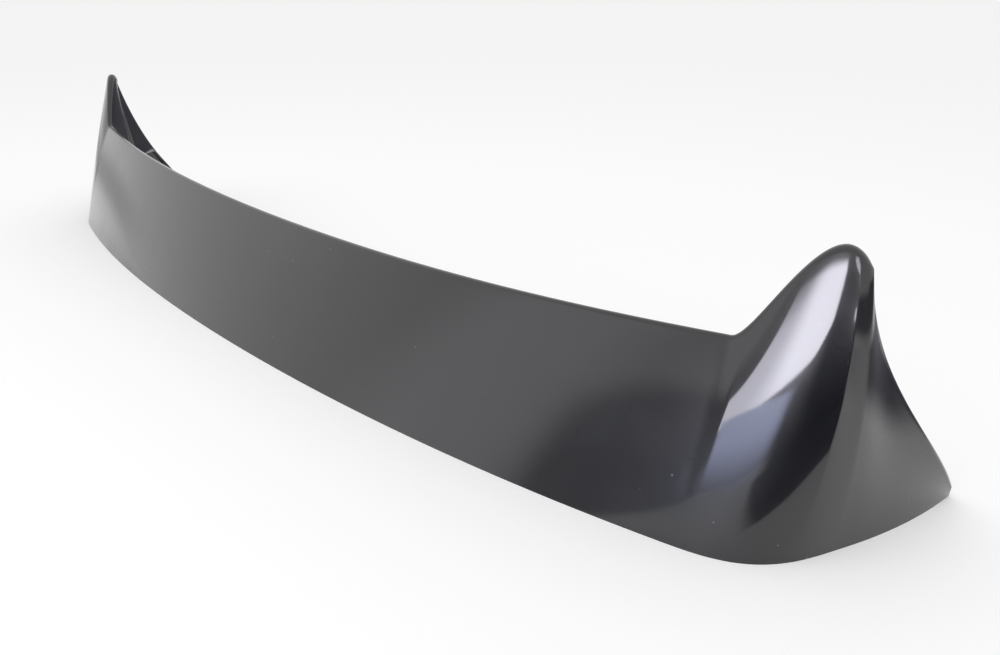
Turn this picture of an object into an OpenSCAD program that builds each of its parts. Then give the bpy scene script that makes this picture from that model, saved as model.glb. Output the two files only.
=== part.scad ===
// Roof spoiler: one thin-walled moulding with a raked panel, swept corners, two side
// wings and a hollow pointed ear at each end. It stands on its flat rim. +X runs along
// the span, +Y to the back and +Z up, from the middle of the leading edge at the rim.

/* [Leading edge] */
// Length along the rim from its middle to where a corner starts
front_length = 468; // [420:5:560]
// Radius of the leading edge at its middle
front_radius_mid = 2780; // [2200:20:5000]
// Radius of the leading edge where a corner starts
front_radius_end = 1470; // [1100:10:2200]

/* [Corners and side wings] */
// Length along the rim round a corner
corner_length = 135; // [120:1:150]
// Heading of the rim where a corner ends, from the span
wing_heading = 72; // [64:1:80]
// Length along the rim of a side wing behind its corner
wing_length = 102; // [90:1:130]
// Radius of a side wing along the rim
wing_radius = 360; // [250:10:600]
// Height of the wing at its back corner
foot_height = 9; // [8:0.5:14]

/* [Trailing edge] */
// Distance that the panel leans back at the middle of the span
lean_mid = 65; // [50:0.5:85]
// Distance that the panel leans back where the corners start
lean_end = 51.5; // [42:0.5:60]
// Height of the trailing edge at the middle of the span
edge_height_mid = 106.5; // [90:0.5:120]
// Height of the trailing edge in the valleys beside the ears
edge_height_end = 124; // [100:0.5:130]
// How late the trailing edge sweeps back towards the corners
sweep_power = 2.7; // [2:0.1:4]
// How late the trailing edge climbs towards the corners
climb_power = 1.8; // [1.5:0.1:3]
// Distance of a valley outside the start of its corner
valley_out = 15; // [5:0.5:25]
// How far the trailing edge runs on before it turns up into an ear
valley_reach = 12.5; // [6:0.5:20]

/* [Ears] */
// Distance of an ear's peak outside its valley
peak_out = 49; // [35:0.5:60]
// Distance of an ear's peak behind its valley
peak_back = 30; // [20:0.5:40]
// Height of an ear's peak above its valley
peak_rise = 61; // [40:0.5:75]
// Roundness of the edge on the valley's side of the peak
peak_reach = 21; // [12:0.5:30]
// Heading of the edge over the peak, from the span
peak_heading = 26; // [10:1:40]
// Width of the rounded nose behind the peak, along the span
nose_out = 10; // [8:0.5:12]
// Depth of the rounded nose behind the peak
nose_back = 8.5; // [8:0.5:16]
// Drop from the peak to where the back edge starts
nose_drop = 12; // [9:0.5:18]
// Roundness of the nose
nose_reach = 6; // [4:0.5:8]
// Rake of the back edge under the nose, from the vertical
tip_rake = 14; // [11:1:20]
// How far the back edge keeps that rake
tip_reach = 75; // [40:1:90]
// Rake of the back edge at the back corner, from the vertical
foot_rake = 38; // [32:1:50]
// How far the back edge keeps that rake
foot_reach = 60; // [25:1:75]
// Length of back edge below the notch where the ear's inner face ends
notch_length = 93; // [60:1:105]

/* [Skin] */
// Wall thickness of the moulding
wall = 2.8; // [2:0.1:3]
// Outside radius of the trailing edge
edge_radius = 3.3; // [3.1:0.1:4.5]
// Outside radius of the edge over an ear's nose
nose_radius = 5.5; // [5:0.1:6]
// Outside radius of the wing's back corner
foot_radius = 3.4; // [3.2:0.1:4]
// Width of the strip turned under along the trailing edge
return_width = 26; // [18:1:40]
// Angle between the panel and the strip under it
return_angle = 42; // [36:1:60]
// Width of the lip turned in along the back edge below the notch
lip_width = 5.5; // [5:0.5:9]
// Angle between the wing's side and that lip
lip_angle = 80; // [70:1:90]
// Distance that the ear's inner face hangs below the line from valley to notch
inner_drop = 30; // [10:1:45]
// Crown of the panel, across its height
panel_crown = 2; // [0:0.5:6]
// Outward bow of the crease below an ear
crease_bow_out = 7; // [0:0.5:14]
// Backward bow of the crease below an ear
crease_bow_back = 1; // [0:0.5:4]
// Height by which the crease stands proud of a corner that is round all the way up
crease_height = 2.6; // [0:0.1:5]
// Height of the soft line where the panel turns into a corner
corner_line_height = 1.6; // [0:0.1:2.4]
// Width of that line's flank on the panel
corner_line_inner = 90; // [60:1:120]
// Width of that line's flank on the corner
corner_line_outer = 45; // [30:1:70]

/* [Where the lines down the skin meet the rim] */
// Distance along the rim of the valley's line behind the start of its corner
valley_line = 20; // [5:1:40]
// Distance along the rim of the peak's line behind the same start
peak_line = 62; // [50:1:75]
// Distance along the rim of the line from the back of the nose, behind the same start
nose_line = 124; // [100:1:130]
// Distance along the rim of the notch's line ahead of the wing's end
notch_line = 50; // [30:1:60]

/* [Hidden] */

// Columns of the skin: from the middle to the valley, up the slope, over the nose,
// down the back edge to the notch, and from there to the back corner
panel_columns = 16;
slope_columns = 11;
nose_columns = 10;
back_columns = 11;
foot_columns = 6;
// Rows of the skin: up the outside, round the edge and down the inner face
outer_rows = 10;
edge_rows = 5;
inner_rows = 4;
// Steps in which the rim and each stretch of the top edge are worked out
rim_steps = 360;
stretch_steps = 40;
// Columns over which the strip under the panel widens into the ear's inner face, that
// face narrows again behind the notch, and its angle turns to the lip's
widening_columns = 7;
narrowing_columns = 1;
turning_columns = 5;
// Part of a column over which the top edge's direction is taken
edge_sample = 0.2;

valley = panel_columns;
peak = valley + slope_columns;
nose_end = peak + nose_columns;
notch = nose_end + back_columns;
foot = notch + foot_columns;
crest = peak + nose_columns / 2;
zip = crest - valley;
crease_columns = 4.5;
corner_line = valley + 1;
seam_columns = nose_columns / 2 + 1.5;
edge_end_row = outer_rows + edge_rows;
rows = edge_end_row + inner_rows;

function mix(a, b, t) = a + (b - a) * t;
function unit(v) = v / norm(v);
function square_to(v, axis) = unit(v - (v * axis) * axis);
function clamp(t) = min(max(t, 0), 1);
function smooth(t) = t * t * (3 - 2 * t);
function flipped(v) = [-v.x, v.y, v.z];
function bezier(a, b, c, d, t) =
    mix(mix(mix(a, b, t), mix(b, c, t), t), mix(mix(b, c, t), mix(c, d, t), t), t);

// Smooth rising curve through the marks [x, y], flatter where its stretches are
function secant(marks, k) = (marks[k + 1][1] - marks[k][1]) / (marks[k + 1][0] - marks[k][0]);
function mark_slope(marks, k) =
    k == 0 ? secant(marks, 0) :
    k == len(marks) - 1 ? secant(marks, k - 1) :
    2 * secant(marks, k - 1) * secant(marks, k) / (secant(marks, k - 1) + secant(marks, k));
function rise(marks, x, k = 0) =
    k < len(marks) - 2 && x > marks[k + 1][0] ? rise(marks, x, k + 1) :
    let (step = marks[k + 1][0] - marks[k][0], t = (x - marks[k][0]) / step)
    (1 - smooth(t)) * marks[k][1] + smooth(t) * marks[k + 1][1]
        + step * t * (1 - t) * ((1 - t) * mark_slope(marks, k) - t * mark_slope(marks, k + 1));

// The rim's plan, summed up from its heading along its length
rim_length = front_length + corner_length + wing_length;
radius_change = 1 / front_radius_end - 1 / front_radius_mid;
function front_heading(s) =
    (s / front_radius_mid + radius_change * s ^ 3 / (3 * front_length ^ 2)) * 180 / PI;
function corner_heading(t) =
    mix(front_heading(front_length), wing_heading, t - sin(360 * t) / (2 * PI));
function side_heading(s) = wing_heading + s / wing_radius * 180 / PI;
function rim_heading(s) =
    s < front_length ? front_heading(s) :
    s < front_length + corner_length ? corner_heading((s - front_length) / corner_length) :
    side_heading(s - front_length - corner_length);
rim_step = rim_length / rim_steps;
rim_path = [
    for (k = 0, p = [0, 0, 0], h = rim_heading(rim_step / 2); k <= rim_steps;
         p = p + rim_step * [cos(h), sin(h), 0], k = k + 1, h = rim_heading((k + 0.5) * rim_step)) p
];
function path_point(path, x) =
    let (k = min(floor(x), len(path) - 2)) mix(path[k], path[k + 1], x - k);
function rim_point(s) = path_point(rim_path, s / rim_step);

// The top edge: trailing edge, slope of the ear, nose and back edge
corner_start = rim_point(front_length);
valley_point = corner_start + [valley_out, lean_end, edge_height_end];
peak_point = valley_point + [peak_out, peak_back, peak_rise];
tip_point = peak_point + [nose_out, nose_back, -nose_drop];
foot_point = rim_point(rim_length) + [0, 0, foot_height];
valley_way = unit([
    valley_point.x,
    sweep_power * (valley_point.y - lean_mid),
    climb_power * (edge_height_end - edge_height_mid)
]);
peak_way = [cos(peak_heading), sin(peak_heading), 0];
tip_way = [0, sin(tip_rake), -cos(tip_rake)];
foot_way = [0, sin(foot_rake), -cos(foot_rake)];
function trailing_edge(t) = [
    valley_point.x * t,
    mix(lean_mid, valley_point.y, t ^ sweep_power),
    mix(edge_height_mid, edge_height_end, t ^ climb_power)
];
function slope_edge(t) =
    bezier(valley_point, valley_point + valley_reach * valley_way, peak_point - peak_reach * peak_way, peak_point, t);
function nose_edge(t) =
    bezier(peak_point, peak_point + nose_reach * peak_way, tip_point - nose_reach * tip_way, tip_point, t);
function back_edge(t) =
    bezier(tip_point, tip_point + tip_reach * tip_way, foot_point - foot_reach * foot_way, foot_point, t);
edge_path = concat(
    [for (k = [0 : stretch_steps - 1]) trailing_edge(k / stretch_steps)],
    [for (k = [0 : stretch_steps - 1]) slope_edge(k / stretch_steps)],
    [for (k = [0 : stretch_steps - 1]) nose_edge(k / stretch_steps)],
    [for (k = [0 : stretch_steps]) back_edge(k / stretch_steps)]
);
edge_run = [
    for (k = 0, run = 0; k < len(edge_path);
         run = run + norm(edge_path[min(k + 1, len(edge_path) - 1)] - edge_path[k]), k = k + 1) run
];
edge_length = edge_run[len(edge_run) - 1];
function step_at(run, low = 0, high = len(edge_run) - 1) =
    high - low < 2 ? low :
    let (middle = floor((low + high) / 2))
    edge_run[middle] > run ? step_at(run, low, middle) : step_at(run, middle, high);
function edge_point(run) =
    let (k = step_at(run), t = (run - edge_run[k]) / (edge_run[k + 1] - edge_run[k]))
    mix(edge_path[k], edge_path[k + 1], t);

// Where each column starts on the rim and ends on the top edge
rim_marks = [
    [0, 0],
    [valley, front_length + valley_line],
    [peak, front_length + peak_line],
    [nose_end, front_length + nose_line],
    [notch, rim_length - notch_line],
    [foot, rim_length]
];
edge_marks = [
    [0, 0],
    [valley, edge_run[stretch_steps]],
    [peak, edge_run[2 * stretch_steps]],
    [nose_end, edge_run[3 * stretch_steps]],
    [notch, edge_length - notch_length],
    [foot, edge_length]
];
function start_of(c) = rim_point(rise(rim_marks, c));
function top_of(c) = c < 0 ? flipped(top_of(-c)) : edge_point(rise(edge_marks, c));
function way_at(c) = unit(top_of(min(c + edge_sample, foot)) - top_of(c - edge_sample));

// Where each column ends on the inside: on the seam down the ear's flat inner face, on
// the strip under the panel or on the lip of the wing
hang_way = unit((valley_point + top_of(notch)) / 2 - top_of(crest));
function seam_point(k) =
    let (reach = mix(seam_columns, zip, k / zip))
    (top_of(crest - reach) + top_of(crest + reach)) / 2 + inner_drop * (k / zip) ^ 2 * hang_way;
function skin_way(c) = square_to(start_of(c) - top_of(c), way_at(c));
function strip_way(c, angle) =
    let (down = skin_way(c)) down * cos(angle) + cross(way_at(c), down) * sin(angle);
function inner_reach(c) =
    let (widening = smooth(clamp((c - valley) / widening_columns + 1)))
    c <= valley ? mix(return_width * strip_way(c, return_angle), seam_point(zip) - valley_point, widening) :
    c <= notch ? seam_point(abs(c - crest)) - top_of(c) :
    lip_reach(c, smooth(clamp((c - notch) / narrowing_columns)));
notch_reach = seam_point(zip) - top_of(notch);
notch_run = notch_reach * way_at(notch);
notch_width = norm(notch_reach - notch_run * way_at(notch));
notch_angle = acos(square_to(notch_reach, way_at(notch)) * skin_way(notch));
function lip_reach(c, narrowing) =
    let (angle = mix(notch_angle, lip_angle, smooth(clamp((c - notch) / turning_columns))))
    mix(notch_width, lip_width, narrowing) * strip_way(c, angle) + (1 - narrowing) * notch_run * way_at(c);

// How far the outer face bows out between the rim and the top edge, and how far the
// crease and the corner's soft line stand out from it
function bow(c) =
    let (share = smooth(clamp(1 - abs(c - crest) / (zip + foot_columns))))
    mix([0, c < crest ? -panel_crown : 0, 0], [crease_bow_out, crease_bow_back, 0], share);
function crease(c) =
    let (
        flank = c < corner_line ? corner_line_inner : corner_line_outer,
        line_share = clamp(1 - norm(start_of(c) - start_of(corner_line)) / flank) ^ 2,
        share = clamp(1 - abs(c - crest) / crease_columns) ^ 2
    )
    crease_height * share * unit([1, -1, 0]) + corner_line_height * line_share * [0, -1, 0];
function edge_radius_at(c) =
    c <= crest ? mix(edge_radius, nose_radius, smooth(clamp((c - valley) / slope_columns))) :
    mix(nose_radius, foot_radius, smooth(clamp((c - nose_end) / (back_columns + foot_columns))));

// One column of the skin, from the rim up, round the edge and down the inner face
function column(c) =
    let (
        start = start_of(c),
        top = top_of(c),
        end = top + inner_reach(c),
        way = way_at(c),
        outer = square_to(start - top + 4 * bow(c), way),
        inner = square_to(end - top, way),
        half_angle = acos(clamp(outer * inner * 0.5 + 0.5) ^ 0.5),
        radius = edge_radius_at(c),
        setback = radius / tan(half_angle),
        centre = top + unit(outer + inner) * radius,
        corner = top - unit(outer + inner) * (radius / sin(half_angle) - radius),
        edge_start = corner + setback * outer,
        edge_end = corner + setback * inner,
        sweep = 180 - 2 * half_angle,
        from = (edge_start - centre) / sin(sweep),
        to = (edge_end - centre) / sin(sweep)
    )
    concat(
        [for (r = [0 : outer_rows - 1]) panel_point(start, edge_start, bow(c), crease(c), r / outer_rows)],
        [for (r = [0 : edge_rows - 1]) centre + arc_arm(from, to, sweep, r / edge_rows)],
        [for (r = [0 : inner_rows]) mix(edge_end, end, r / inner_rows)]
    );
// The bow is largest half-way up, and both lines are highest two thirds of the way up
function panel_point(a, b, bow, crease, t) =
    mix(a, b, t) + bow * 4 * t * (1 - t) + crease * 27 / 4 * t ^ 2 * (1 - t);
function arc_arm(from, to, sweep, t) = from * sin((1 - t) * sweep) + to * sin(t * sweep);
half_skin = [for (c = [0 : foot]) column(c)];
function skin(c, r) = c < 0 ? flipped(half_skin[-c][r]) : half_skin[c][r];

// The inside of the wall: each point of the skin moved in, square to the skin
function on_seam(c, r) = r == rows && abs(abs(c) - crest) <= zip;
function along(c, r) =
    on_seam(c, r) && c == crest ? skin(c + 1, r - 1) - skin(c - 1, r - 1) :
    skin(min(c + 1, foot), r) - skin(c - 1, r);
function upward(c, r) =
    on_seam(c, r) && c == crest ? skin(c - 1, r) - skin(c, r - 1) :
    on_seam(c, r) ? skin(2 * crest - c, r - 1) - skin(c, r - 1) :
    skin(c, min(r + 1, rows)) - skin(c, max(r - 1, 0));
function out_of(c, r) = unit(cross(along(c, r), upward(c, r)));
function level(v) = unit([v.x, v.y, 0]) / norm([v.x, v.y]);
function inside_point(c, r) =
    on_seam(c, r) && c > crest ? inside_point(2 * crest - c, r) :
    r > edge_end_row && r < rows ? inside_between(c, r, edge_end_row, rows) :
    c == foot && r > 0 && r < outer_rows ? inside_between(c, r, 0, outer_rows) :
    skin(c, r) - wall * (r == 0 ? level(out_of(c, r)) : out_of(c, r));
function inside_between(c, r, low, high) =
    mix(inside_point(c, low), inside_point(c, high), (r - low) / (high - low));
half_inside = [for (c = [0 : foot]) [for (r = [0 : rows]) inside_point(c, r)]];

// Points of both sides of the wall, column by column from the left foot to the right
function both_halves(half) = [
    for (c = [-foot : foot]) for (r = [0 : rows]) c < 0 ? flipped(half[-c][r]) : half[c][r]
];
layer = (2 * foot + 1) * (rows + 1);
function seam_column(c, r) = on_seam(c, r) && abs(c) > crest ? sign(c) * (2 * crest - abs(c)) : c;
function out_id(c, r) = (seam_column(c, r) + foot) * (rows + 1) + r;
function in_id(c, r) = out_id(c, r) + layer;
function two_triangles(a, b, c, d) = [[a, b, c], [a, c, d]];
outside_faces = [
    for (c = [-foot : foot - 1]) for (r = [0 : rows - 1])
        each two_triangles(out_id(c, r), out_id(c, r + 1), out_id(c + 1, r + 1), out_id(c + 1, r))
];
inside_faces = [
    for (c = [-foot : foot - 1]) for (r = [0 : rows - 1])
        each two_triangles(in_id(c, r), in_id(c + 1, r), in_id(c + 1, r + 1), in_id(c, r + 1))
];
rim_faces = [
    for (c = [-foot : foot - 1])
        each two_triangles(out_id(c, 0), out_id(c + 1, 0), in_id(c + 1, 0), in_id(c, 0))
];
free_edge_faces = [
    for (c = [-foot : foot - 1]) if (!on_seam(c, rows) || !on_seam(c + 1, rows))
        each two_triangles(out_id(c + 1, rows), out_id(c, rows), in_id(c, rows), in_id(c + 1, rows))
];
end_faces = [
    for (r = [0 : rows - 1]) each concat(
        two_triangles(out_id(-foot, r + 1), out_id(-foot, r), in_id(-foot, r), in_id(-foot, r + 1)),
        two_triangles(out_id(foot, r), out_id(foot, r + 1), in_id(foot, r + 1), in_id(foot, r))
    )
];

module spoiler() {
    color("#2b2c30")
        polyhedron(
            points = concat(both_halves(half_skin), both_halves(half_inside)),
            faces = concat(outside_faces, inside_faces, rim_faces, free_edge_faces, end_faces),
            convexity = 6
        );
}

spoiler();
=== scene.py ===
import math

import bmesh
import bpy
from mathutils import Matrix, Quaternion, Vector


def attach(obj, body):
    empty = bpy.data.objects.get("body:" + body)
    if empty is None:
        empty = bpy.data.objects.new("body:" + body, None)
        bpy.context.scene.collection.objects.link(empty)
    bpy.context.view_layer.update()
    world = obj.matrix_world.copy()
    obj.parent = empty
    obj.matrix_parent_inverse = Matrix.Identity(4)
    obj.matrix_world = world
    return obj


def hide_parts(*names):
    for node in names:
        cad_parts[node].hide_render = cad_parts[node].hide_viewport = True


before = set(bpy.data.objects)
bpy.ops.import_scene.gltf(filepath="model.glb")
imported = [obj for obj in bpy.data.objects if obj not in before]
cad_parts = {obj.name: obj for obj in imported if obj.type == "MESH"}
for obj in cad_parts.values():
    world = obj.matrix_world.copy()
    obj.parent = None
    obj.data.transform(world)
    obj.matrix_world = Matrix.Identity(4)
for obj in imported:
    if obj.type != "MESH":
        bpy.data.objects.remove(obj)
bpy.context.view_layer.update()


# Camera: it stands at the right front of the spoiler and looks down along the panel to
# the far ear, with a moderately wide lens. The lens and its sensor are in millimetres,
# the eye's place is in metres and the angles are in radians.
PHOTO_LENS = 32.4
PHOTO_SENSOR = 36
PHOTO_EYE = (0.7488, -0.3351, 0.3301)
PHOTO_PITCH = 0.3896
PHOTO_HEADING = 0.8280

lens = bpy.data.cameras.new("photo_lens")
lens.lens = PHOTO_LENS
lens.sensor_width = PHOTO_SENSOR
lens.clip_start = 0.01
camera = bpy.data.objects.new("photo_camera", lens)
camera.location = PHOTO_EYE
camera.rotation_euler = (math.pi / 2 - PHOTO_PITCH, 0, PHOTO_HEADING)
bpy.context.scene.collection.objects.link(camera)
bpy.context.scene.camera = camera
bpy.context.scene.view_settings.view_transform = "Standard"


# Shell: one thin glass-fibre moulding, laid up in a mould: the raked panel, its corners,
# the side wings, and the hollow ear on each side, whose inner faces meet in one seam. Its
# skin is ruled from the rim to the top edge, rolled over the edge and turned in below.
# All sizes are in millimetres until the mesh is made.
FRONT_LENGTH, CORNER_LENGTH, WING_LENGTH = 468, 135, 102
FRONT_RADIUS_MID, FRONT_RADIUS_END, WING_RADIUS = 2780, 1470, 360
WING_HEADING = 72
FOOT_HEIGHT = 9
LEAN_MID, LEAN_END = 65, 51.5
EDGE_HEIGHT_MID, EDGE_HEIGHT_END = 106.5, 124
SWEEP_POWER, CLIMB_POWER = 2.7, 1.8
VALLEY_OUT, VALLEY_REACH = 15, 12.5
PEAK_RISE = Vector((49, 30, 61))
PEAK_REACH, PEAK_HEADING = 21, 26
NOSE_FALL = Vector((10, 8.5, -12))
NOSE_REACH = 6
TIP_RAKE, TIP_REACH = 14, 75
FOOT_RAKE, FOOT_REACH = 38, 60
NOTCH_LENGTH = 93
WALL = 2.8
EDGE_RADIUS, NOSE_RADIUS, FOOT_RADIUS = 3.3, 5.5, 3.4
RETURN_WIDTH, RETURN_ANGLE = 26, 42
LIP_WIDTH, LIP_ANGLE = 5.5, 80
INNER_DROP = 30
PANEL_CROWN = 2
CREASE_BOW = Vector((7, 1, 0))
CREASE_HEIGHT = 2.6
CREASE_CURVE = 27 / 4
CORNER_LINE, CORNER_LINE_HEIGHT = 17, 1.6
CORNER_LINE_INNER, CORNER_LINE_OUTER = 90, 45
VALLEY_LINE, PEAK_LINE, NOSE_LINE, NOTCH_LINE = 20, 62, 124, 50

# Lines down the skin, numbered from the middle of the span to the back corner. What
# bends along the span is worked out between them from lines a small step apart.
VALLEY, PEAK, NOSE, NOTCH, FOOT = 16, 27, 37, 48, 54
CREST = 32
ZIP = CREST - VALLEY
CREASE_LINES, SEAM_LINES, WIDENING_LINES = 4.5, 6.5, 7
NOTCH_LINES, LIP_LINES = 1, 5
LINES_PER_STEP = 5
SIDE_STEP = 0.2
OUTER_ROWS, EDGE_ROWS, INNER_ROWS = 20, 10, 8
ROWS = OUTER_ROWS + EDGE_ROWS + INNER_ROWS


def mix(a, b, t):
    return a + (b - a) * t


def clamp(t):
    return min(max(t, 0), 1)


def smooth(t):
    return t * t * (3 - 2 * t)


def square_to(v, axis):
    return (v - axis * v.dot(axis)).normalized()


def bezier(a, b, c, d, t):
    return mix(
        mix(mix(a, b, t), mix(b, c, t), t), mix(mix(b, c, t), mix(c, d, t), t), t
    )


def rise(marks, x):
    """Smooth rising curve through the marks."""
    k = max(i for i in range(len(marks) - 1) if i == 0 or x > marks[i][0])
    secants = [
        (marks[i + 1][1] - marks[i][1]) / (marks[i + 1][0] - marks[i][0])
        for i in range(len(marks) - 1)
    ]

    def slope(i):
        if i == 0 or i == len(marks) - 1:
            return secants[min(i, len(secants) - 1)]
        return 2 * secants[i - 1] * secants[i] / (secants[i - 1] + secants[i])

    step = marks[k + 1][0] - marks[k][0]
    t = (x - marks[k][0]) / step
    bend = step * t * (1 - t) * ((1 - t) * slope(k) - t * slope(k + 1))
    return mix(marks[k][1], marks[k + 1][1], smooth(t)) + bend


def run_along(path):
    """Length along a path at each of its points."""
    runs = [0.0]
    for a, b in zip(path, path[1:]):
        runs.append(runs[-1] + (b - a).length)
    return runs


def point_at(path, runs, run):
    low, high = 0, len(runs) - 1
    while high - low > 1:
        middle = (low + high) // 2
        if runs[middle] > run:
            high = middle
        else:
            low = middle
    return mix(path[low], path[high], (run - runs[low]) / (runs[high] - runs[low]))


def rim_heading(s):
    front_end = FRONT_LENGTH / FRONT_RADIUS_MID + (
        1 / FRONT_RADIUS_END - 1 / FRONT_RADIUS_MID
    ) * FRONT_LENGTH / 3
    side = math.radians(WING_HEADING)
    if s < FRONT_LENGTH:
        change = (1 / FRONT_RADIUS_END - 1 / FRONT_RADIUS_MID) * s**3
        return s / FRONT_RADIUS_MID + change / (3 * FRONT_LENGTH**2)
    t = (s - FRONT_LENGTH) / CORNER_LENGTH
    if t < 1:
        return mix(front_end, side, t - math.sin(2 * math.pi * t) / (2 * math.pi))
    return side + (s - FRONT_LENGTH - CORNER_LENGTH) / WING_RADIUS


RIM_LENGTH = FRONT_LENGTH + CORNER_LENGTH + WING_LENGTH
RIM_STEPS = 1440
rim_path = [Vector((0, 0, 0))]
for k in range(RIM_STEPS):
    heading = rim_heading((k + 0.5) * RIM_LENGTH / RIM_STEPS)
    step = Vector((math.cos(heading), math.sin(heading), 0)) * (RIM_LENGTH / RIM_STEPS)
    rim_path.append(rim_path[-1] + step)
rim_runs = [k * RIM_LENGTH / RIM_STEPS for k in range(RIM_STEPS + 1)]


def rake_way(rake):
    return Vector((0, math.sin(math.radians(rake)), -math.cos(math.radians(rake))))


corner_start = point_at(rim_path, rim_runs, FRONT_LENGTH)
valley_point = corner_start + Vector((VALLEY_OUT, LEAN_END, EDGE_HEIGHT_END))
peak_point = valley_point + PEAK_RISE
tip_point = peak_point + NOSE_FALL
foot_point = rim_path[-1] + Vector((0, 0, FOOT_HEIGHT))
valley_way = Vector(
    (
        valley_point.x,
        SWEEP_POWER * (valley_point.y - LEAN_MID),
        CLIMB_POWER * (EDGE_HEIGHT_END - EDGE_HEIGHT_MID),
    )
).normalized()
peak_way = Vector(
    (math.cos(math.radians(PEAK_HEADING)), math.sin(math.radians(PEAK_HEADING)), 0)
)
tip_way, foot_way = rake_way(TIP_RAKE), rake_way(FOOT_RAKE)


def top_stretch(name, t):
    if name == "trailing edge":
        return Vector(
            (
                valley_point.x * t,
                mix(LEAN_MID, valley_point.y, t**SWEEP_POWER),
                mix(EDGE_HEIGHT_MID, EDGE_HEIGHT_END, t**CLIMB_POWER),
            )
        )
    if name == "slope":
        ends = valley_point, valley_way * VALLEY_REACH, peak_way * PEAK_REACH, peak_point
    elif name == "nose":
        ends = peak_point, peak_way * NOSE_REACH, tip_way * NOSE_REACH, tip_point
    else:
        ends = tip_point, tip_way * TIP_REACH, foot_way * FOOT_REACH, foot_point
    return bezier(ends[0], ends[0] + ends[1], ends[3] - ends[2], ends[3], t)


STRETCH_STEPS = 160
top_path = [
    top_stretch(name, k / STRETCH_STEPS)
    for name in ("trailing edge", "slope", "nose", "back edge")
    for k in range(STRETCH_STEPS)
] + [foot_point]
top_runs = run_along(top_path)
rim_marks = [
    (0, 0),
    (VALLEY, FRONT_LENGTH + VALLEY_LINE),
    (PEAK, FRONT_LENGTH + PEAK_LINE),
    (NOSE, FRONT_LENGTH + NOSE_LINE),
    (NOTCH, RIM_LENGTH - NOTCH_LINE),
    (FOOT, RIM_LENGTH),
]
top_marks = [
    (0, 0),
    (VALLEY, top_runs[STRETCH_STEPS]),
    (PEAK, top_runs[2 * STRETCH_STEPS]),
    (NOSE, top_runs[3 * STRETCH_STEPS]),
    (NOTCH, top_runs[-1] - NOTCH_LENGTH),
    (FOOT, top_runs[-1]),
]


def start_of(c):
    return point_at(rim_path, rim_runs, rise(rim_marks, c))


def top_of(c):
    top = point_at(top_path, top_runs, rise(top_marks, abs(c)))
    return Vector((-top.x, top.y, top.z)) if c < 0 else top


def way_at(c):
    return (top_of(min(c + SIDE_STEP, FOOT)) - top_of(c - SIDE_STEP)).normalized()


hang_way = ((valley_point + top_of(NOTCH)) / 2 - top_of(CREST)).normalized()


def seam_point(k):
    reach = mix(SEAM_LINES, ZIP, k / ZIP)
    middle = (top_of(CREST - reach) + top_of(CREST + reach)) / 2
    return middle + hang_way * (INNER_DROP * (k / ZIP) ** 2)


def skin_way(c):
    return square_to(start_of(c) - top_of(c), way_at(c))


def strip_way(c, angle):
    down, turn = skin_way(c), math.radians(angle)
    return down * math.cos(turn) + way_at(c).cross(down) * math.sin(turn)


notch_reach = seam_point(ZIP) - top_of(NOTCH)
notch_run = notch_reach.dot(way_at(NOTCH))
notch_width = (notch_reach - way_at(NOTCH) * notch_run).length
notch_angle = math.degrees(square_to(notch_reach, way_at(NOTCH)).angle(skin_way(NOTCH)))


def inner_reach(c):
    if c <= VALLEY:
        widening = smooth(clamp((c - VALLEY) / WIDENING_LINES + 1))
        strip = strip_way(c, RETURN_ANGLE) * RETURN_WIDTH
        return mix(strip, seam_point(ZIP) - valley_point, widening)
    if c <= NOTCH:
        return seam_point(abs(c - CREST)) - top_of(c)
    closing = smooth(clamp((c - NOTCH) / NOTCH_LINES))
    angle = mix(notch_angle, LIP_ANGLE, smooth(clamp((c - NOTCH) / LIP_LINES)))
    width = mix(notch_width, LIP_WIDTH, closing)
    return strip_way(c, angle) * width + way_at(c) * notch_run * (1 - closing)


def edge_radius_at(c):
    if c <= CREST:
        return mix(EDGE_RADIUS, NOSE_RADIUS, smooth(clamp((c - VALLEY) / (PEAK - VALLEY))))
    return mix(NOSE_RADIUS, FOOT_RADIUS, smooth(clamp((c - NOSE) / (FOOT - NOSE))))


def line_down(c):
    """Points of one line of the skin, from the rim up, round the edge and down inside. The
    bow is largest half-way up, and the crease is highest two thirds of the way up."""
    start, top = start_of(c), top_of(c)
    end = top + inner_reach(c)
    way = way_at(c)
    share = smooth(clamp(1 - abs(c - CREST) / (ZIP + FOOT - NOTCH)))
    bow = mix(Vector((0, -PANEL_CROWN if c < CREST else 0, 0)), CREASE_BOW, share)
    crease = Vector((1, -1, 0)).normalized() * (
        CREASE_HEIGHT * clamp(1 - abs(c - CREST) / CREASE_LINES) ** 2
    )
    flank = CORNER_LINE_INNER if c < CORNER_LINE else CORNER_LINE_OUTER
    beside = (start - start_of(CORNER_LINE)).length / flank
    crease += Vector((0, -CORNER_LINE_HEIGHT * clamp(1 - beside) ** 2, 0))
    outer = square_to(start - top + 4 * bow, way)
    inner = square_to(end - top, way)
    half_angle = math.acos(clamp(outer.dot(inner) / 2 + 0.5) ** 0.5)
    radius = edge_radius_at(c)
    inward = (outer + inner).normalized()
    setback = radius / math.tan(half_angle)
    centre = top + inward * radius
    corner = top - inward * (radius / math.sin(half_angle) - radius)
    edge_start, edge_end = corner + outer * setback, corner + inner * setback
    sweep = math.pi - 2 * half_angle
    points = []
    for r in range(OUTER_ROWS):
        t = r / OUTER_ROWS
        hump = crease * (CREASE_CURVE * t**2 * (1 - t))
        points.append(mix(start, edge_start, t) + bow * (4 * t * (1 - t)) + hump)
    for r in range(EDGE_ROWS):
        t = r / EDGE_ROWS
        arm = (edge_start - centre) * math.sin((1 - t) * sweep)
        arm += (edge_end - centre) * math.sin(t * sweep)
        points.append(centre + arm / math.sin(sweep))
    for r in range(INNER_ROWS + 1):
        points.append(mix(edge_end, end, r / INNER_ROWS))
    return points


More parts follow.
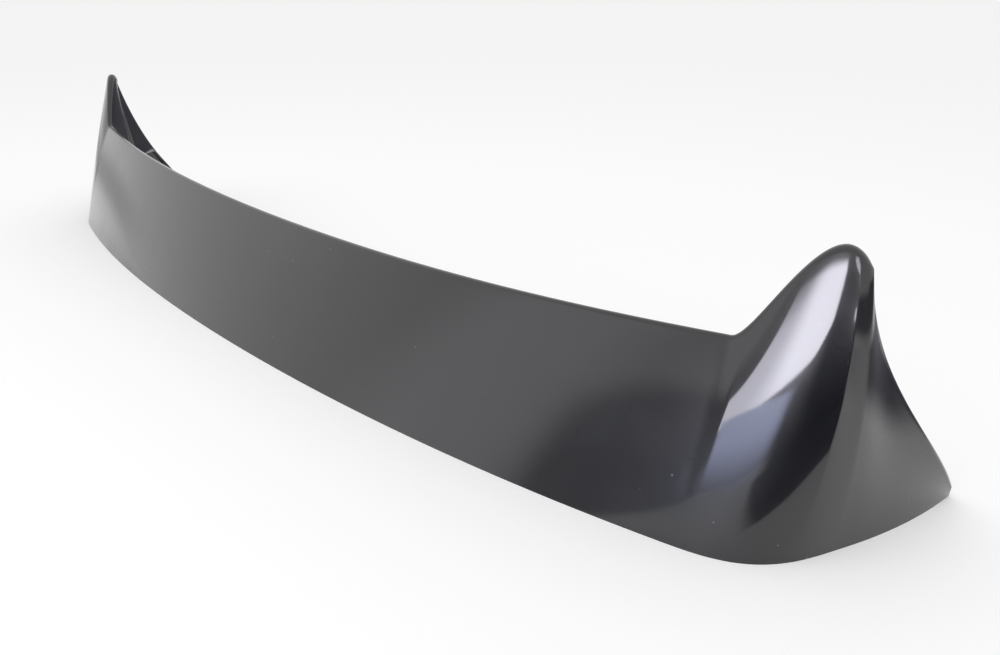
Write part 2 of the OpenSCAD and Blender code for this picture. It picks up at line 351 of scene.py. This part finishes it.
# The rim and the free edges are trimmed by hand, which rounds them a little. Points of
# the mesh nearer than the merging distance, in metres, are one point.
MERGE_DISTANCE = 1e-5
TRIMMED_EDGE, TRIMMED_ANGLE = 0.5, 50
LAST_LINE = FOOT * LINES_PER_STEP
CREST_LINE = CREST * LINES_PER_STEP
EDGE_END_ROW = OUTER_ROWS + EDGE_ROWS
skin_lines = [line_down(k / LINES_PER_STEP) for k in range(LAST_LINE + 1)]


def skin_at(k, r):
    """A point of the skin on line k, mirrored for the left half, and row r."""
    point = skin_lines[min(abs(k), LAST_LINE)][r]
    return Vector((-point.x, point.y, point.z)) if k < 0 else point


def on_seam(k, r):
    """True where the inner faces of an ear's slope and back edge meet."""
    return r == ROWS and abs(k - CREST_LINE) <= ZIP * LINES_PER_STEP


def outward_at(k, r):
    """Direction square to the skin."""
    step, row = LINES_PER_STEP, r - 1 if on_seam(k, r) and k == CREST_LINE else r
    along = skin_at(k + step, row) - skin_at(k - step, row)
    if not on_seam(k, r):
        upward = skin_at(k, min(r + 1, ROWS)) - skin_at(k, max(r - 1, 0))
    elif k == CREST_LINE:
        upward = skin_at(k - step, r) - skin_at(k, r - 1)
    else:
        upward = skin_at(2 * CREST_LINE - k, r - 1) - skin_at(k, r - 1)
    return along.cross(upward).normalized()


def inside_at(k, r):
    """The point one wall in from the skin. At the rim it stays level, so that it sits flat."""
    if on_seam(k, r) and k > CREST_LINE:
        return inside_at(2 * CREST_LINE - k, r)
    if EDGE_END_ROW < r < ROWS:
        share = (r - EDGE_END_ROW) / INNER_ROWS
        return mix(inside_at(k, EDGE_END_ROW), inside_at(k, ROWS), share)
    if k == LAST_LINE and 0 < r < OUTER_ROWS:
        return mix(inside_at(k, 0), inside_at(k, OUTER_ROWS), r / OUTER_ROWS)
    inward = -outward_at(k, r)
    if r == 0:
        inward.z = 0
    return skin_at(k, r) + inward.normalized() * WALL


def make_shell():
    mesh = bmesh.new()
    bmesh.ops.create_grid(mesh, x_segments=LAST_LINE, y_segments=ROWS, size=0.5)
    line_of = mesh.verts.layers.int.new("line")
    row_of = mesh.verts.layers.int.new("row")
    for v in mesh.verts:
        v[line_of] = round((v.co.x + 0.5) * LAST_LINE)
        v[row_of] = round((v.co.y + 0.5) * ROWS)
        v.co = skin_at(v[line_of], v[row_of]) * 0.001
    everything = mesh.verts[:] + mesh.edges[:] + mesh.faces[:]
    bmesh.ops.mirror(mesh, geom=everything, axis="X", merge_dist=MERGE_DISTANCE)
    bmesh.ops.remove_doubles(mesh, verts=mesh.verts, dist=MERGE_DISTANCE)
    bmesh.ops.recalc_face_normals(mesh, faces=mesh.faces)
    foremost = min(mesh.faces, key=lambda f: f.calc_center_median().y)
    if foremost.normal.y > 0:
        bmesh.ops.reverse_faces(mesh, faces=mesh.faces)

    # Solidify closes the free edges, and its inner layer is then put in its true place
    outer_count = len(mesh.verts)
    bmesh.ops.solidify(mesh, geom=mesh.faces[:], thickness=MERGE_DISTANCE)
    mesh.verts.index_update()
    for v in [v for v in mesh.verts if v.index >= outer_count]:
        place = inside_at(v[line_of], v[row_of]) * 0.001
        v.co = (math.copysign(place.x, v.co.x), place.y, place.z)
    for f in mesh.faces:
        f.smooth = True

    data = bpy.data.meshes.new("shell")
    mesh.to_mesh(data)
    mesh.free()
    shell = bpy.data.objects.new("shell", data)
    bpy.context.scene.collection.objects.link(shell)
    trim = shell.modifiers.new("trimmed_edges", "BEVEL")
    trim.width = TRIMMED_EDGE * 0.001
    trim.segments = 2
    trim.limit_method = "ANGLE"
    trim.angle_limit = math.radians(TRIMMED_ANGLE)
    trim.harden_normals = True
    return shell


shell = make_shell()


def linear(code):
    """Linear colour of an sRGB hex code."""
    parts = [int(code[i : i + 2], 16) / 255 for i in (1, 3, 5)]
    return tuple(
        p / 12.92 if p <= 0.04045 else ((p + 0.055) / 1.055) ** 2.4 for p in parts
    ) + (1,)


def add_node(tree, kind, links=(), **settings):
    """Adds a node, sets its properties and input values, and links other nodes' outputs
    into it. links holds (input, node, output)."""
    node = tree.nodes.new(kind)
    for name, value in settings.pop("values", {}).items():
        node.inputs[name].default_value = value
    for name, value in settings.items():
        setattr(node, name, value)
    for name, source, output in links:
        tree.links.new(source.outputs[output], node.inputs[name])
    return node


# Sizes of the finish, in millimetres. Pinholes and polishing marks are drawn about twice
# as coarse as real ones, so that they still show from a metre away.
PINHOLE_SPACING, PINHOLE_RADIUS = 19, 0.8
POLISHING_LENGTH, POLISHING_PITCH, POLISHING_DEPTH = 26, 1.2, 0.0025
CLOUD_SIZE = 55
WAVE_SIZE, WAVE_DEPTH = 70, 0.05
HAZE_LEAST, HAZE_MOST = 0.22, 0.3

# Places of the colours among the sockets of a mix node
FIRST_COLOUR, SECOND_COLOUR, MIXED_COLOUR = 6, 7, 2


def per_metre(size):
    """Pattern scale on object coordinates in metres for a feature of a size in mm."""
    return 1000 / size


def black_gel_coat():
    """Black polyester gel coat, moulded and then polished by hand. The eye gets a sharp
    gloss over a wider haze, with fine polishing marks, cloudy patches and pinholes."""
    material = bpy.data.materials.new("polished_black_gel_coat")
    material.use_nodes = True
    tree = material.node_tree
    tree.nodes.clear()
    place = add_node(tree, "ShaderNodeTexCoord")

    # Colour: black with faint clouds, and dust in the pinholes
    clouds = add_node(
        tree,
        "ShaderNodeTexNoise",
        [("Vector", place, "Object")],
        values={"Scale": per_metre(CLOUD_SIZE), "Detail": 3.0},
    )
    black = add_node(
        tree,
        "ShaderNodeMix",
        [("Factor", clouds, "Fac")],
        data_type="RGBA",
        values={FIRST_COLOUR: linear("#0f1014"), SECOND_COLOUR: linear("#15161a")},
    )
    pinholes = add_node(
        tree,
        "ShaderNodeTexVoronoi",
        [("Vector", place, "Object")],
        values={"Scale": per_metre(PINHOLE_SPACING)},
    )
    pinhole_share = PINHOLE_RADIUS / PINHOLE_SPACING
    in_pinhole = add_node(
        tree,
        "ShaderNodeMapRange",
        [("Value", pinholes, "Distance")],
        values={"From Min": pinhole_share, "From Max": pinhole_share / 3},
    )
    colour = add_node(
        tree,
        "ShaderNodeMix",
        [("Factor", in_pinhole, "Result"), (FIRST_COLOUR, black, MIXED_COLOUR)],
        data_type="RGBA",
        values={SECOND_COLOUR: linear("#77777a")},
    )

    # Finish: haze that follows the clouds, slow waves and fine marks along the span
    haze = add_node(
        tree,
        "ShaderNodeMapRange",
        [("Value", clouds, "Fac")],
        values={"From Min": 0.3, "From Max": 0.7, "To Min": HAZE_LEAST, "To Max": HAZE_MOST},
    )
    waves = add_node(
        tree,
        "ShaderNodeTexNoise",
        [("Vector", place, "Object")],
        values={"Scale": per_metre(WAVE_SIZE), "Detail": 0.0},
    )
    wavy = add_node(
        tree,
        "ShaderNodeBump",
        [("Height", waves, "Fac")],
        values={"Distance": WAVE_DEPTH * 0.001},
    )
    mark_length, mark_pitch = per_metre(POLISHING_LENGTH), per_metre(POLISHING_PITCH)
    stretched = add_node(
        tree,
        "ShaderNodeMapping",
        [("Vector", place, "Object")],
        values={"Scale": (mark_length, mark_length, mark_pitch)},
    )
    marks = add_node(
        tree,
        "ShaderNodeTexNoise",
        [("Vector", stretched, "Vector")],
        values={"Scale": 1.0, "Detail": 2.0},
    )
    polished = add_node(
        tree,
        "ShaderNodeBump",
        [("Height", marks, "Fac"), ("Normal", wavy, "Normal")],
        values={"Distance": POLISHING_DEPTH * 0.001},
    )
    coat = add_node(
        tree,
        "ShaderNodeBsdfPrincipled",
        [
            ("Base Color", colour, MIXED_COLOUR),
            ("Roughness", haze, "Result"),
            ("Normal", polished, "Normal"),
            ("Coat Normal", polished, "Normal"),
        ],
        values={
            "IOR": 1.55,
            "Specular IOR Level": 0.2,
            "Coat Weight": 1.0,
            "Coat Roughness": 0.05,
            "Coat IOR": 1.55,
        },
    )
    add_node(tree, "ShaderNodeOutputMaterial", [("Surface", coat, "BSDF")])
    return material


shell.data.materials.append(black_gel_coat())
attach(shell, "root")
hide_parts("spoiler")


# Floor: matt white paper that runs to the horizon and keeps the spoiler's shadow. What
# the eye and the gloss see of it is lifted a little towards white.
FLOOR_SIZE = 80
FLOOR_LIFT = 0.125


def add_sheet(name, width, height, material):
    """A flat sheet in its own X-Y plane. It belongs to the studio, not to the spoiler."""
    mesh = bmesh.new()
    bmesh.ops.create_grid(mesh, x_segments=1, y_segments=1, size=0.5)
    for v in mesh.verts:
        v.co.x, v.co.y = v.co.x * width, v.co.y * height
    data = bpy.data.meshes.new(name)
    mesh.to_mesh(data)
    mesh.free()
    data.materials.append(material)
    sheet = bpy.data.objects.new(name, data)
    bpy.context.scene.collection.objects.link(sheet)
    return sheet


def add_seen_share(tree, least, most):
    """A value that is least for the light on things and most for what the eye, the gloss
    and clear things see."""
    ray = add_node(tree, "ShaderNodeLightPath")
    direct = add_node(
        tree,
        "ShaderNodeMath",
        [(0, ray, "Is Camera Ray"), (1, ray, "Is Glossy Ray")],
        operation="MAXIMUM",
    )
    seen = add_node(
        tree,
        "ShaderNodeMath",
        [(0, direct, "Value"), (1, ray, "Is Transmission Ray")],
        operation="MAXIMUM",
    )
    return add_node(
        tree,
        "ShaderNodeMapRange",
        [("Value", seen, "Value")],
        values={"To Min": least, "To Max": most},
    )


def white_paper():
    """Matt paper without any gloss, so the spoiler leaves a soft shadow and no mirror image."""
    material = bpy.data.materials.new("matt_white_paper")
    material.use_nodes = True
    tree = material.node_tree
    tree.nodes.clear()
    paper = add_node(tree, "ShaderNodeBsdfDiffuse", values={"Color": linear("#f6f6f6")})
    lift = add_seen_share(tree, 0.0, FLOOR_LIFT)
    glow = add_node(
        tree,
        "ShaderNodeEmission",
        [("Strength", lift, "Result")],
        values={"Color": linear("#fcfcff")},
    )
    both = add_node(
        tree,
        "ShaderNodeAddShader",
        [(0, paper, "BSDF"), (1, glow, "Emission")],
    )
    add_node(tree, "ShaderNodeOutputMaterial", [("Surface", both, "Shader")])
    return material


add_sheet("floor", FLOOR_SIZE, FLOOR_SIZE, white_paper())


# Room: pale and even all round, with one large soft lamp above and in front.
ROOM_LIGHT, ROOM_SEEN = 0.88, 1.0
LAMP_WIDTH, LAMP_DEPTH, LAMP_WATTS = 1.6, 1.0, 5
LAMP_PLACE = (0.3, -0.6, 1.6)
LAMP_TILT = (math.radians(24), math.radians(8), 0)

world = bpy.data.worlds.new("pale_room")
bpy.context.scene.world = world
world.use_nodes = True
room = world.node_tree
room.nodes.clear()
level = add_seen_share(room, ROOM_LIGHT, ROOM_SEEN)
sky = add_node(
    room,
    "ShaderNodeBackground",
    [("Strength", level, "Result")],
    values={"Color": linear("#fafafa")},
)
add_node(room, "ShaderNodeOutputWorld", [("Surface", sky, "Background")])

soft_lamp = bpy.data.lights.new("soft_lamp", "AREA")
soft_lamp.shape = "RECTANGLE"
soft_lamp.size, soft_lamp.size_y = LAMP_WIDTH, LAMP_DEPTH
soft_lamp.energy = LAMP_WATTS
lamp = bpy.data.objects.new("soft_lamp", soft_lamp)
lamp.location = LAMP_PLACE
lamp.rotation_euler = LAMP_TILT
lamp.visible_glossy = False
bpy.context.scene.collection.objects.link(lamp)


# Cards: sheets of even light with edges that fade out, stood round the spoiler. Only
# glossy surfaces show them, and they light nothing else. They are placed by how they
# are seen from the spoiler's corners.
NEAR_CORNER = Vector((0.5, 0.08, 0.1))
FAR_CORNER = Vector((-0.56, 0.1, 0.07))
FAR_EAR = Vector((-0.54, 0.15, 0.13))


def fading_light(name, code, radiance, width, height, fades):
    """Light of one strength that fades to nothing along its left, right, bottom and top
    edges, over the widths in fades."""
    material = bpy.data.materials.new(name)
    material.use_nodes = True
    tree = material.node_tree
    tree.nodes.clear()
    place = add_node(tree, "ShaderNodeTexCoord")
    axes = add_node(tree, "ShaderNodeSeparateXYZ", [("Vector", place, "Object")])
    share = add_node(tree, "ShaderNodeMath", values={0: 1.0, 1: 1.0}, operation="MULTIPLY")
    left, right, bottom, top = fades
    for axis, edge, fade in (
        ("X", -width / 2, left),
        ("X", width / 2, -right),
        ("Y", -height / 2, bottom),
        ("Y", height / 2, -top),
    ):
        step = add_node(
            tree,
            "ShaderNodeMapRange",
            [("Value", axes, axis)],
            interpolation_type="SMOOTHSTEP",
            values={"From Min": edge, "From Max": edge + fade},
        )
        share = add_node(
            tree,
            "ShaderNodeMath",
            [(0, share, "Value"), (1, step, "Result")],
            operation="MULTIPLY",
        )
    clear = add_node(tree, "ShaderNodeBsdfTransparent")
    glow = add_node(
        tree,
        "ShaderNodeEmission",
        values={"Color": linear(code), "Strength": radiance},
    )
    shown = add_node(
        tree,
        "ShaderNodeMixShader",
        [("Fac", share, "Value"), (1, clear, "BSDF"), (2, glow, "Emission")],
    )
    add_node(tree, "ShaderNodeOutputMaterial", [("Surface", shown, "Shader")])
    return material


def show_in_gloss_only(sheet):
    """Hides a sheet from the eye and lets it light nothing but gloss."""
    sheet.visible_camera = False
    sheet.visible_diffuse = False
    sheet.visible_shadow = False


def add_card(name, code, radiance, centre, bearings, elevations, fades, distance, roll=0):
    """A card that faces a centre. bearings, elevations and fades are in degrees as seen
    from there: bearings run from straight in front to the right."""
    turn = math.radians(sum(bearings) / 2)
    climb = math.radians(sum(elevations) / 2)
    span = bearings[1] - bearings[0]
    rise_span = elevations[1] - elevations[0]
    width = 2 * distance * math.tan(math.radians(span) / 2) * math.cos(climb)
    height = 2 * distance * math.tan(math.radians(rise_span) / 2)
    left, right, bottom, top = fades
    fade_widths = (
        left * width / span,
        right * width / span,
        bottom * height / rise_span,
        top * height / rise_span,
    )
    material = fading_light(name, code, radiance, width, height, fade_widths)
    card = add_sheet(name, width, height, material)
    away = Vector(
        (
            math.sin(turn) * math.cos(climb),
            -math.cos(turn) * math.cos(climb),
            math.sin(climb),
        )
    )
    card.location = centre + away * distance
    facing = away.to_track_quat("Z", "Y") @ Quaternion((0, 0, 1), math.radians(roll))
    card.rotation_euler = facing.to_euler()
    show_in_gloss_only(card)


# The panel goes from light grey at its far end to near black at its near one.
add_card(
    "left_card",
    "#fdfdff",
    1.35,
    NEAR_CORNER,
    bearings=(-50, -20),
    elevations=(-2, 34),
    fades=(12, 9, 4, 8),
    distance=4.2,
)
add_card(
    "front_card",
    "#f6f6ff",
    0.3,
    NEAR_CORNER,
    bearings=(-27, 60),
    elevations=(-1.2, 21),
    fades=(8, 10, 0.1, 7),
    distance=3.9,
)

# The near corner's bright patch is strongest at its right, with a cool glow below it and
# a small spot on the ear's nose.
add_card(
    "softbox",
    "#f1f0ff",
    8.5,
    NEAR_CORNER,
    bearings=(-12.5, 42),
    elevations=(8.2, 25),
    fades=(0.8, 0.5, 0.2, 8),
    distance=3.0,
    roll=2,
)
add_card(
    "softbox_core",
    "#f4f3ff",
    14.5,
    NEAR_CORNER,
    bearings=(-6, 40),
    elevations=(8.4, 26.5),
    fades=(16, 0.5, 0.2, 8),
    distance=2.9,
    roll=2,
)
add_card(
    "small_softbox",
    "#f4f3ff",
    7.0,
    NEAR_CORNER,
    bearings=(61, 76),
    elevations=(14, 24),
    fades=(3, 3, 3, 3),
    distance=2.9,
)
add_card(
    "blue_card",
    "#c4cdf4",
    5.6,
    NEAR_CORNER,
    bearings=(-12.5, 25),
    elevations=(-7.4, 7.6),
    fades=(9, 9, 11, 0.5),
    distance=0.72,
)

# Dark cards give the band beside the patch, the top and back edge of the side face, and
# the far ear's inner face. A grey one evens out the far corner.
add_card(
    "dark_card",
    "#9a9aa8",
    0.13,
    NEAR_CORNER,
    bearings=(19, 86),
    elevations=(-7.4, 15),
    fades=(9, 6, 0.1, 1.5),
    distance=0.7,
    roll=9,
)
add_card(
    "back_card",
    "#9a9aa4",
    0.35,
    NEAR_CORNER,
    bearings=(104, 190),
    elevations=(-7.4, 6),
    fades=(10, 8, 3, 4),
    distance=0.74,
)
add_card(
    "low_back_card",
    "#9a9aa4",
    0.45,
    NEAR_CORNER,
    bearings=(118, 205),
    elevations=(-21, -3),
    fades=(30, 5, 9, 3),
    distance=0.27,
)
add_card(
    "far_back_card",
    "#9a9aa4",
    0.45,
    FAR_EAR,
    bearings=(-190, -132),
    elevations=(-9, 16),
    fades=(8, 8, 0.1, 5),
    distance=0.75,
)
add_card(
    "far_left_card",
    "#e4e4e4",
    0.75,
    FAR_CORNER,
    bearings=(-125, -50),
    elevations=(-9.5, 8),
    fades=(25, 25, 7, 9),
    distance=0.42,
)

# A dark sheet lies on the floor in front of the near corner, just off it. Only gloss sees it
# and it
# lights nothing: it is painted shade in the reflection, and carries the dark band down to the
# rim.
DARK_SHEET_BEARING = math.radians(17)
DARK_SHEET_WIDTH, DARK_SHEET_LENGTH = 0.8, 1.2
DARK_SHEET_CORNER = Vector((0.5549, -0.0213, 0.001))

# Faint grey light that only gloss sees: painted shade in the reflection before the near corner.
dark_sheet_material = fading_light(
    "dark_reflection_sheet", "#9a9aa8", 0.28, DARK_SHEET_WIDTH, DARK_SHEET_LENGTH, (0.05, 0.2, 0.02, 0.02)
)
dark_reflection_sheet = add_sheet("dark_reflection_sheet", DARK_SHEET_WIDTH, DARK_SHEET_LENGTH, dark_sheet_material)
forth = Vector((math.sin(DARK_SHEET_BEARING), -math.cos(DARK_SHEET_BEARING), 0))
aside = Vector((math.cos(DARK_SHEET_BEARING), math.sin(DARK_SHEET_BEARING), 0))
dark_reflection_sheet.location = DARK_SHEET_CORNER + forth * (DARK_SHEET_LENGTH / 2) + aside * (DARK_SHEET_WIDTH / 2)
dark_reflection_sheet.rotation_euler = (0, 0, DARK_SHEET_BEARING)
show_in_gloss_only(dark_reflection_sheet)
